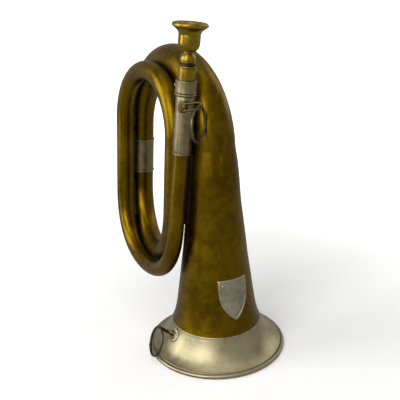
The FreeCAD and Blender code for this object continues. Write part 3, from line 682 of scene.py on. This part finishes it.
def make_wire_wrap():
    """Turns of wire round the shank, and a loose end that droops."""
    base = along(RECEIVER_TOP_Z)
    thick, steps = WRAP_THICKNESS, WRAP_TURNS * WRAP_STEPS_A_TURN
    points = []
    for i in range(steps + 1):
        share = i / steps
        a = math.radians(WRAP_END_BEARING - 360 * WRAP_TURNS * (1 - share))
        radius = SHANK_MOUTH_RADIUS + thick + 0.05 + 0.05 * math.sin(i * 0.4)
        centre, t, u, v = LEAD_AXIS.frame(base + 0.78 + 1.25 * share + 0.16 * math.sin(a - 0.6))
        points.append(centre + spoke(u, v, a) * radius)
    onwards, last = v * math.cos(a) - u * math.sin(a), points[-1]
    droop = ((2.4, 0.05), (5.0, 0.5), (7.6, 1.9), (10.0, 3.4))
    tail = [last + onwards * reach - t * drop for reach, drop in droop]
    points += spline([last] + tail, 5)[1:]
    wire("shank_wire_wrap_turns", points, lambda share: thick * (0.94 + 0.06 * math.sin(share * 90)), 14)


# ---- strap eyes and rings ----

def eye_path(reach, root, half):
    """Loop of wire in the plane of its axes: out along the top, round the end, back below."""
    tip = reach - EYE_WIRE - half
    upper = [(root + (tip - root) * i / 6, half) for i in range(7)]
    turns = [math.radians(15 * i) for i in range(1, 12)]
    end = [(tip + half * math.sin(a), half * math.cos(a)) for a in turns]
    lower = [(x, -y) for x, y in upper[::-1]]
    return upper + end + lower


def upper_root(x, y):
    """Point of the upper eye's plane: x out of the sleeve's side, y up."""
    centre, t, u, v = LEAD_AXIS.frame(along(UPPER_EYE_Z))
    root = centre + side_of_sleeve(UPPER_EYE_ROOT_BEARING, SLEEVE_RADIUS + UPPER_PATCH_WALL)
    slope = math.radians(UPPER_EYE_SLOPE)
    out = side_of_sleeve(UPPER_EYE_BEARING, 1.0)
    return root + out * (x * math.cos(slope) - y * math.sin(slope)) + t * (
        x * math.sin(slope) + y * math.cos(slope))


def side_of_sleeve(bearing, reach):
    return spoke(LEAD_AXIS.u, LEAD_AXIS.v, math.radians(bearing)) * reach


def make_upper_eye():
    points = [upper_root(x, y) for x, y in eye_path(UPPER_EYE_REACH, -1.0, EYE_HALF_HEIGHT)]
    wire("upper_eyelet_wire", points, lambda share: EYE_WIRE * (0.97 + 0.03 * math.sin(share * 21)))


def make_upper_patch():
    """Rounded saddle that follows the sleeve, with a blob of solder at the eye's foot."""
    centre, t, u, v = LEAD_AXIS.frame(along(UPPER_EYE_Z))
    wide, tall = 4.35, 5.45
    wall, count = UPPER_PATCH_WALL, 56
    loops = [(1.0, SKIN_GAP), (1.0, 0.4), (0.96, 0.62), (0.9, 0.72), (0.75, wall), (0.5, wall), (0.25, wall)]
    blob = math.radians(UPPER_EYE_ROOT_BEARING - UPPER_PATCH_BEARING) * SLEEVE_RADIUS

    def place(x, y, lift):
        lump = 0.9 * math.exp(-((x - blob) ** 2 + y * y) / 4.0)
        a = UPPER_PATCH_BEARING + math.degrees(x / SLEEVE_RADIUS)
        return centre + side_of_sleeve(a, SLEEVE_RADIUS + lift * (1 + lump)) + t * y

    verts = []
    for share, lift in loops:
        for k in range(count):
            a = 2 * math.pi * k / count
            fat = share * (1 + 0.07 * math.sin(2 * a) ** 2 + 0.02 * math.sin(3 * a + 0.7))
            verts.append(place(wide * fat * math.cos(a), tall * fat * math.sin(a) * 0.96, lift))
    rings = [[len(verts) + 1]] + stacked(len(loops), count) + [[len(verts)]]
    verts += [place(0, 0, wall), place(0, 0, SKIN_GAP)]
    add_mesh("upper_eyelet_saddle", verts, skin(rings), sharp=50)


def ring_points(hinge, along_ring, down, radius, steps=120):
    """Circle of points that hangs from the hinge."""
    centre = hinge + down * radius
    angles = [2 * math.pi * i / steps for i in range(steps)]
    return [centre - down * (radius * math.cos(a)) + along_ring * (radius * math.sin(a)) for a in angles]


def bump_at(place, size, extra, base):
    """Wire radius with a blob of solder at one place."""
    def thick(share):
        d = abs((share - place + 0.5) % 1 - 0.5)
        return base * (1 + 0.02 * math.sin(share * 44)) + extra * math.exp(-(d / size) ** 2)
    return thick


def make_upper_ring():
    hinge = upper_root(UPPER_RING_AT, -EYE_HALF_HEIGHT) + UP * (EYE_WIRE + RING_WIRE + RING_CLEARANCE)
    points = ring_points(hinge, heading(UPPER_RING_BEARING), -UP, RING_RADIUS)
    wire("upper_strap_ring_wire", points, bump_at(0.30, 0.016, 0.35, RING_WIRE), 24, closed=True)


def lower_eye_root():
    return heading(LOWER_EYE_BEARING) * (bell_radius(LOWER_EYE_Z) + GARLAND_WALL) + UP * LOWER_EYE_Z


def make_lower_eye():
    """Wire eye, and the boss at its foot that settles on the garland's curve."""
    path = Straight(lower_eye_root(), heading(LOWER_EYE_BEARING, LOWER_EYE_SLOPE), UP)
    centre, t, u, v = path.frame(0)
    points = [centre + t * x + v * y for x, y in eye_path(LOWER_EYE_REACH, 3.0, EYE_HALF_HEIGHT)]
    wire("lower_eyelet_wire", points, EYE_WIRE)
    columns = 240
    angles = [2 * math.pi * k / columns for k in range(columns)]
    outline = bell_offset(GARLAND_WALL)
    verts = [(r * math.cos(a), r * math.sin(a), z) for r, z in outline for a in angles]
    tree = BVHTree.FromPolygons(verts, skin(stacked(len(outline), columns)))
    far, top_lift = 20, 7.2

    def settle(rho, a, lift):
        start = centre + spoke(u, v, a) * rho + t * far
        hit = tree.ray_cast(start, -t)[0]
        return (hit if hit else start - t * far) + t * lift

    loops = [
        (6.6, SKIN_GAP), (6.6, 0.5), (6.35, 0.85), (5.8, 1.1), (4.9, 1.35), (4.2, 1.6), (3.7, 2.1),
        (3.3, 2.9), (3.05, 4.2), (2.9, 5.6), (2.6, 6.5), (2.0, 7.0), (1.0, top_lift)]
    columns, settled_below = 72, 1.7
    verts = []
    for rho, lift in loops:
        for k in range(columns):
            a = 2 * math.pi * k / columns
            if lift < settled_below:
                verts.append(settle(rho, a, lift))
            else:
                verts.append(centre + spoke(u, v, a) * rho + t * lift)
    rings = [[len(verts) + 1]] + stacked(len(loops), columns) + [[len(verts)]]
    verts += [centre + t * top_lift, centre + t * SKIN_GAP]
    add_mesh("lower_eyelet_boss", verts, skin(rings), sharp=55)


def make_lower_ring():
    out = heading(LOWER_EYE_BEARING, LOWER_EYE_SLOPE)
    hinge = lower_eye_root() + out * (LOWER_EYE_REACH - 2 * EYE_WIRE - RING_WIRE - RING_CLEARANCE)
    away = heading(LOWER_RING_BEARING - 90)
    lean = math.radians(LOWER_RING_LEAN)
    down = away * math.sin(lean) - UP * math.cos(lean)
    points = ring_points(hinge, heading(LOWER_RING_BEARING), down, LOWER_RING_RADIUS)
    wire("lower_strap_ring_wire", points, bump_at(0.62, 0.018, 0.3, RING_WIRE), 24, closed=True)


# ---- solder stays ----

def stay(name, p, q, radius, gap0, gap1):
    """Short bar between two axes, with solder fillets where it meets the tubes."""
    axis = q - p
    upright = abs(axis.normalized().z) > 0.9
    path = Straight(p, axis, (1, 0, 0) if upright else UP.cross(axis))
    low, high = gap0 - STAY_SUNK, axis.length - gap1 + STAY_SUNK
    outline = [(0, low)]
    for k in range(13):
        s = k / 12
        fillet = 1.5 * (math.exp(-s * 7) + math.exp(-(1 - s) * 7))
        outline.append((radius + fillet, low + (high - low) * s))
    outline.append((0, high))
    turned(name, path, outline, 32, sharp=70)


def web(name, sections):
    """Strip of solder between two tubes. Each section is (near edge, far edge, half thickness)."""
    across_steps = (0, 0.2, 0.4, 0.6, 0.8, 1)
    verts = []
    for near, far, half in sections:
        for side in (-1, 1):
            for share in across_steps[::-side]:
                flare = 1 + 1.2 * (2 * share - 1) ** 2
                p = near * (1 - share) + far * share
                verts.append(p + half * side * flare * (1 + 0.15 * soft_noise(p, 5.0, 2.0)))
    rings = stacked(len(sections), 2 * len(across_steps))
    faces = skin(rings) + [tuple(rings[0][::-1]), tuple(rings[-1])]
    add_mesh(name, verts, faces, sharp=60)


def make_stays():
    for name, z in (("left_leg_stay_low", 138.5), ("left_leg_stay_high", 190.0)):
        p = on_run(FRONT_LEFT_AT, COIL_LEAN, z) + LEG_STAY_SHIFT
        q = on_run(REAR_LEFT_AT, COIL_LEAN, z) + LEG_STAY_SHIFT
        stay(name, p, q, 1.5, R_FRONT_LEFT - 0.5, R_REAR_LEFT - 0.5)
    p, q = on_run(LEADPIPE_AT, PIPE_LEAN, LEADPIPE_STAY_Z), on_run(MIDDLE_AT, COIL_LEAN, LEADPIPE_STAY_Z)
    stay("leadpipe_stay_bar", p, q, 2.4, R_LEADPIPE, R_MIDDLE)
    p, q = on_run(MIDDLE_AT, COIL_LEAN, BELL_STAY_Z), UP * BELL_STAY_Z
    stay("bell_stay_low", p, q, 2.2, R_MIDDLE, bell_radius(BELL_STAY_Z))


def make_bell_strip():
    """Web of solder between the leadpipe and the bell."""
    sections, steps = [], 16
    for i in range(steps + 1):
        share = i / steps
        z = STRIP_BOTTOM_Z + (STRIP_TOP_Z - STRIP_BOTTOM_Z) * share - STRIP_TAIL * (1 - share)
        p, q = on_run(LEADPIPE_AT, PIPE_LEAN, z), UP * z
        out = (q - p).normalized()
        half = UP.cross(out) * STRIP_THICKNESS / 2
        sections.append((p + out * (R_LEADPIPE - WEB_SUNK), q - out * (bell_radius(z) - WEB_SUNK), half))
    web("bell_solder_strip", sections)


def make_bow_seam():
    """Web of solder between the two lower bows, from each point of the rear one to the nearest ahead."""
    turns = [math.pi * i / 360 for i in range(361)]
    trace = [(FRONT_LOWER.point(turn), turn) for turn in turns]
    sections, steps = [], 32
    for i in range(steps + 1):
        turn = math.radians(SEAM_FROM + (SEAM_TO - SEAM_FROM) * i / steps)
        p = REAR_LOWER.point(turn)
        q, front_turn = min(trace, key=lambda pair: (pair[0] - p).length)
        out = (q - p).normalized()
        half = REAR_LOWER.frame(turn)[1].cross(out).normalized() * SEAM_THICKNESS / 2
        near = p + out * (REAR_LOWER.radius(turn) - WEB_SUNK)
        sections.append((near, q - out * (FRONT_LOWER.radius(front_turn) - WEB_SUNK), half))
    web("lower_bow_seam", sections)


def make_bow_stay():
    """Bar from the top of the front upper bow to the nearest point of the bell bow."""
    crown, turns = math.pi * 0.5, [math.pi * i / 60 for i in range(61)]
    p = FRONT_UPPER.point(crown)
    turn = min(turns, key=lambda a: (BELL_BOW.point(a) - p).length)
    q, reach = BELL_BOW.point(turn), BELL_BOW.radius(turn)
    stay("upper_bow_stay_bar", p, q, 2.0, FRONT_UPPER.radius(crown), reach)


make_tube()
make_ferrule()
make_bell()
make_garland()
make_badge()
make_rivets()
make_sleeve()
make_collar_bead()
make_collar()
make_receiver()
make_mouthpiece()
make_wire_wrap()
make_upper_eye()
make_upper_patch()
make_upper_ring()
make_lower_eye()
make_lower_ring()
make_stays()
make_bell_strip()
make_bow_seam()
make_bow_stay()

# ---- materials ----

class Nodes:
    """Adds nodes to a material and links them."""

    def __init__(self, name):
        self.material = bpy.data.materials.new(name)
        self.material.use_nodes = True
        self.tree = self.material.node_tree
        self.tree.nodes.clear()

    def add(self, kind, inputs=None, **settings):
        node = self.tree.nodes.new(kind)
        for key, value in settings.items():
            setattr(node, key, value)
        for key, value in (inputs or {}).items():
            if isinstance(value, bpy.types.NodeSocket):
                self.tree.links.new(value, node.inputs[key])
            else:
                node.inputs[key].default_value = value
        return node

    def noise(self, vector, scale, detail=4.0, rough=0.6, distort=0.0):
        inputs = {
            "Vector": vector, "Scale": scale, "Detail": detail, "Roughness": rough, "Distortion": distort}
        return self.add("ShaderNodeTexNoise", inputs).outputs["Fac"]

    def stretch(self, vector, factors, turn=(0, 0, 0)):
        n = self.add("ShaderNodeMapping", {"Vector": vector, "Scale": factors, "Rotation": turn})
        return n.outputs["Vector"]

    def ramp(self, value, low, high, out_low=0.0, out_high=1.0):
        inputs = {"Value": value, "From Min": low, "From Max": high, "To Min": out_low, "To Max": out_high}
        return self.add("ShaderNodeMapRange", inputs, interpolation_type="SMOOTHSTEP").outputs["Result"]

    def math(self, kind, a, b):
        return self.add("ShaderNodeMath", {0: a, 1: b}, operation=kind).outputs[0]

    def times(self, a, b):
        return self.math("MULTIPLY", a, b)

    def plus(self, a, b):
        return self.math("ADD", a, b)

    def mix(self, factor, a, b):
        n = self.add("ShaderNodeMix", data_type="RGBA")
        for index, value in ((0, factor), (6, a), (7, b)):
            if isinstance(value, bpy.types.NodeSocket):
                self.tree.links.new(value, n.inputs[index])
            elif index:
                n.inputs[index].default_value = (*value, 1.0)
            else:
                n.inputs[index].default_value = value
        return n.outputs[2]


def aged_metal(name, dark, mid, bright, dirt_and_shade, rough, patina=0.5, streaks=0.5, brushed=0.0, pits=0.5,
               bump=0.3):
    """Worn, tarnished metal: cloudy patina, streaks along the tube, pits, scratches, and painted shade that
    darkens the colour in corners.
    """
    n = Nodes(name)
    place = n.add("ShaderNodeTexCoord").outputs["Object"]
    run = n.add("ShaderNodeAttribute", attribute_name="run").outputs["Vector"]
    cloud = n.noise(place, 26.0, 5.0, 0.62, 0.4)
    mottle = n.noise(place, 150.0, 6.0, 0.68, 0.2)
    fine = n.noise(place, 900.0, 3.0, 0.6)
    lengthwise = n.noise(n.stretch(run, (420, 420, 22)), 1.0, 4.0, 0.65)
    rings = n.noise(n.stretch(run, (18, 18, 1500)), 1.0, 3.0, 0.6)
    tone = n.plus(n.times(n.ramp(cloud, 0.25, 0.75), 0.6), n.times(n.ramp(mottle, 0.25, 0.75), 0.4))
    colour = n.mix(n.ramp(tone, 0.15, 0.75), dark, mid)
    colour = n.mix(n.times(n.ramp(lengthwise, 0.5, 0.75), streaks), colour, bright)
    stains = n.ramp(n.noise(place, 60.0, 7.0, 0.72, 0.8), 0.5, 0.8)
    colour = n.mix(n.times(stains, patina), colour, dirt_and_shade)

    # one pit in some of the cells, and two sets of fine scratches
    cells = n.add("ShaderNodeTexVoronoi", {"Vector": place, "Scale": 105.0, "Randomness": 1.0})
    cell_value = n.add("ShaderNodeSeparateColor", {"Color": cells.outputs["Color"]}).outputs[0]
    pit = n.times(n.ramp(cells.outputs["Distance"], 0.11, 0.05), n.ramp(cell_value, 0.86, 0.9))
    pit = n.times(pit, pits)
    colour = n.mix(pit, colour, tuple(c * 0.25 for c in dirt_and_shade))
    scratch_a = n.noise(n.stretch(place, (260, 260, 9), (0.5, 0.25, 0.3)), 1.0, 2.0, 0.5)
    scratch_b = n.noise(n.stretch(place, (240, 14, 240), (0.9, -0.6, 1.1)), 1.0, 2.0, 0.5)
    scratch = n.math("MAXIMUM", n.ramp(scratch_a, 0.70, 0.74), n.ramp(scratch_b, 0.71, 0.75))
    colour = n.mix(n.times(scratch, 0.5), colour, bright)

    # painted shade: ambient occlusion darkens the colour in corners and between parts, where shade falls,
    # and roughens them
    shade = n.add("ShaderNodeAmbientOcclusion", {"Distance": PAINTED_SHADE_REACH}, samples=8)
    painted_corner_shade = n.ramp(shade.outputs["AO"], 0.75, 0.3)
    colour = n.mix(n.times(painted_corner_shade, 0.75), colour, tuple(c * 0.3 for c in dirt_and_shade))
    roughness = n.plus(n.ramp(tone, 0.1, 0.9, *rough), n.times(n.ramp(fine, 0.3, 0.7), 0.05))
    roughness = n.plus(roughness, n.times(painted_corner_shade, 0.2))

    height = n.plus(n.times(fine, 0.35), n.times(mottle, 0.6))
    height = n.plus(height, n.times(rings, brushed))
    height = n.plus(height, n.times(lengthwise, 0.25 * streaks))
    height = n.plus(height, n.times(pit, -1.6))
    height = n.plus(height, n.times(scratch, -0.5))
    relief = n.add("ShaderNodeBump", {"Height": height, "Strength": bump, "Distance": RELIEF_DEPTH})
    surface = n.add("ShaderNodeBsdfPrincipled", {
        "Base Color": colour, "Roughness": roughness, "Normal": relief.outputs["Normal"], "Metallic": 1.0})
    n.add("ShaderNodeOutputMaterial", {"Surface": surface.outputs[0]})
    return n.material


# the first value is how far ambient occlusion looks for the painted shade in corners
PAINTED_SHADE_REACH, RELIEF_DEPTH = 0.007, 0.0002       # in metres
# each metal's colours where it is dark, clean, rubbed bright and dirty, and its range of roughness; the
# dirty colour, darkened, is also the painted shade in corners
BRASS = ((0.105, 0.058, 0.002), (0.175, 0.105, 0.003), (0.31, 0.20, 0.025), (0.05, 0.026, 0.003))
METALS = {
    "tube_brass": (*BRASS, (0.27, 0.36), dict(patina=0.3, streaks=0.3)),
    "bell_brass": (*BRASS, (0.30, 0.40), dict(patina=0.35, streaks=0.12, pits=0.9)),
    "receiver_brass": (
        (0.15, 0.095, 0.008), (0.28, 0.19, 0.018), (0.42, 0.31, 0.06), (0.06, 0.036, 0.005),
        (0.28, 0.4), dict(patina=0.35)),
    "mouthpiece_brass": (
        (0.22, 0.14, 0.010), (0.36, 0.25, 0.025), (0.55, 0.41, 0.08), (0.08, 0.05, 0.006),
        (0.25, 0.36), dict(patina=0.35)),
    "eyelet_brass": (
        (0.08, 0.05, 0.015), (0.15, 0.10, 0.035), (0.32, 0.25, 0.11), (0.035, 0.02, 0.008),
        (0.3, 0.42), dict(streaks=0.3)),
    "nickel_silver": (
        (0.17, 0.14, 0.072), (0.28, 0.235, 0.125), (0.42, 0.36, 0.22), (0.07, 0.052, 0.02),
        (0.34, 0.46), dict(patina=0.35, streaks=0.7)),
    "garland_nickel": (
        (0.29, 0.25, 0.145), (0.43, 0.375, 0.225), (0.55, 0.49, 0.33), (0.13, 0.10, 0.045),
        (0.33, 0.43), dict(patina=0.3, streaks=0.1, brushed=0.5)),
    "badge_nickel": (
        (0.30, 0.275, 0.19), (0.46, 0.425, 0.31), (0.62, 0.58, 0.45), (0.14, 0.12, 0.07),
        (0.42, 0.55), dict(patina=0.4, streaks=0.0, bump=0.6)),
    "ring_nickel": (
        (0.07, 0.054, 0.027), (0.145, 0.115, 0.065), (0.30, 0.25, 0.16), (0.03, 0.022, 0.01),
        (0.26, 0.38), dict(streaks=0.4)),
    "iron_wire": (
        (0.030, 0.022, 0.012), (0.06, 0.045, 0.025), (0.14, 0.11, 0.07), (0.02, 0.014, 0.007),
        (0.4, 0.55), dict(streaks=0.4)),
    "dark_steel": (
        (0.045, 0.034, 0.018), (0.10, 0.08, 0.045), (0.25, 0.21, 0.14), (0.02, 0.015, 0.008),
        (0.26, 0.4), dict(streaks=0.4)),
    "solder": (
        (0.018, 0.013, 0.008), (0.045, 0.036, 0.024), (0.16, 0.14, 0.11), (0.01, 0.007, 0.004),
        (0.4, 0.55), dict(streaks=0.1)),
}
materials = {name: aged_metal(name, *looks, **wear) for name, (*looks, wear) in METALS.items()}

# ---- pieces: body, CAD nodes that they stand for, and material slot ----

PIECES = {
    "front_lower_bow_tube": ("horn", ["front_lower_bow"], "tube_brass"),
    "front_upper_bow_tube": ("horn", ["front_upper_bow"], "tube_brass"),
    "rear_lower_bow_tube": ("horn", ["rear_lower_bow"], "tube_brass"),
    "bell_bow_tube": ("horn", ["bell_bow"], "tube_brass"),
    "leadpipe_tube": ("horn", ["leadpipe"], "tube_brass"),
    "front_left_tube": ("horn", ["front_left_leg"], "tube_brass"),
    "middle_tube": ("horn", ["middle_leg"], "tube_brass"),
    "rear_left_tube_lower": ("horn", ["rear_left_leg_lower"], "tube_brass"),
    "rear_left_tube_upper": ("horn", ["rear_left_leg_upper"], "tube_brass"),
    "rear_ferrule_band": ("horn", ["rear_ferrule"], "nickel_silver"),
    "bell_cone_spun": ("horn", ["bell_cone"], "bell_brass"),
    "garland_band": ("horn", ["garland"], "garland_nickel"),
    "badge_plate_shield": ("horn", ["badge_plate"], "badge_nickel"),
    "badge_rivet_heads": ("horn", ["badge_rivets"], "badge_nickel"),
    "leadpipe_sleeve_band": ("horn", ["leadpipe_sleeve"], "nickel_silver"),
    "collar_bead_ring": ("horn", ["collar_bead"], "nickel_silver"),
    "receiver_collar_band": ("horn", ["receiver_collar"], "nickel_silver"),
    "receiver_tube_socket": ("horn", ["receiver_tube"], "receiver_brass"),
    "mouthpiece_cup": ("mouthpiece", ["mouthpiece"], "mouthpiece_brass"),
    "shank_wire_wrap_turns": ("mouthpiece", ["shank_wire_wrap"], "iron_wire"),
    "upper_eyelet_saddle": ("horn", ["upper_eyelet_patch"], "eyelet_brass"),
    "upper_eyelet_wire": ("horn", ["upper_eyelet"], "eyelet_brass"),
    "upper_strap_ring_wire": ("upper_ring", ["upper_strap_ring"], "ring_nickel"),
    "lower_eyelet_boss": ("horn", ["lower_eyelet_patch"], "garland_nickel"),
    "lower_eyelet_wire": ("horn", ["lower_eyelet"], "dark_steel"),
    "lower_strap_ring_wire": ("lower_ring", ["lower_strap_ring"], "dark_steel"),
    "left_leg_stay_low": ("horn", ["left_leg_stays"], "solder"),
    "left_leg_stay_high": ("horn", [], "solder"),
    "leadpipe_stay_bar": ("horn", ["leadpipe_stay"], "solder"),
    "bell_stay_low": ("horn", ["bell_stays"], "solder"),
    "bell_solder_strip": ("horn", [], "solder"),
    "lower_bow_seam": ("horn", ["lower_bow_solder"], "solder"),
    "upper_bow_stay_bar": ("horn", ["upper_bow_stay"], "solder"),
}

for name, (body, nodes, slot) in PIECES.items():
    piece = made[name]
    piece.data.materials.append(materials[slot])
    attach(piece, body)
    if nodes:
        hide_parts(*nodes)

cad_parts["rim_wire"].data.materials.clear()
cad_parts["rim_wire"].data.materials.append(materials["iron_wire"])

# ---- stage: pale floor, grey surroundings, lights ----

FLOOR_HALF_SIDE, SURROUNDINGS = 6.0, (0.40, 0.40, 0.40, 1)
AIM, LOW_AIM = (0, 0, 0.15), (0, 0, 0.1)



def make_stage():
    """Floor that glows away from the object, so that it ends in plain white."""
    floor_mesh = bpy.data.meshes.new("floor")
    side = FLOOR_HALF_SIDE
    corners = [(-side, -side, 0), (side, -side, 0), (side, side, 0), (-side, side, 0)]
    floor_mesh.from_pydata(corners, [], [(0, 1, 2, 3)])
    floor = bpy.data.objects.new("floor", floor_mesh)
    scene.collection.objects.link(floor)
    n = Nodes("floor_paper")
    place = n.add("ShaderNodeTexCoord").outputs["Object"]
    tint = n.mix(n.noise(place, 40.0, 3.0), (0.86, 0.86, 0.855), (0.88, 0.88, 0.875))
    reach = n.add("ShaderNodeVectorMath", {0: place}, operation="LENGTH").outputs["Value"]
    glow = n.ramp(reach, 0.12, 0.7, 0.15, 1.0)
    surface = n.add("ShaderNodeBsdfPrincipled", {
        "Base Color": tint, "Roughness": 0.9, "Specular IOR Level": 0.1,
        "Emission Color": (1, 1, 1, 1), "Emission Strength": glow})
    n.add("ShaderNodeOutputMaterial", {"Surface": surface.outputs[0]})
    floor_mesh.materials.append(n.material)
    floor.visible_glossy = False


def add_light(name, place, target, size, energy):
    data = bpy.data.lights.new(name, "AREA")
    data.shape = "RECTANGLE"
    data.size, data.size_y = size
    data.energy = energy
    light = bpy.data.objects.new(name, data)
    scene.collection.objects.link(light)
    light.location = place
    aim = Vector(target) - Vector(place)
    light.rotation_euler = aim.to_track_quat("-Z", "Y").to_euler()


def make_world():
    world = bpy.data.worlds.new("studio")
    scene.world = world
    world.use_nodes = True
    tree = world.node_tree
    tree.nodes.clear()
    background = tree.nodes.new("ShaderNodeBackground")
    background.inputs["Color"].default_value = SURROUNDINGS
    output = tree.nodes.new("ShaderNodeOutputWorld")
    tree.links.new(background.outputs[0], output.inputs[0])


make_stage()
make_world()
add_light("key_left", (-0.6, -1.3, 0.6), AIM, (0.7, 1.3), 13)
add_light("front_soft", (0.6, -1.2, 0.9), AIM, (0.9, 1.2), 13)
add_light("rim_right", (-0.15, 1.3, 0.8), AIM, (0.7, 1.2), 2.5)
add_light("top", (0.3, -0.25, 1.6), LOW_AIM, (1.1, 1.1), 4)

# ---- the end ----

bpy.context.view_layer.update()
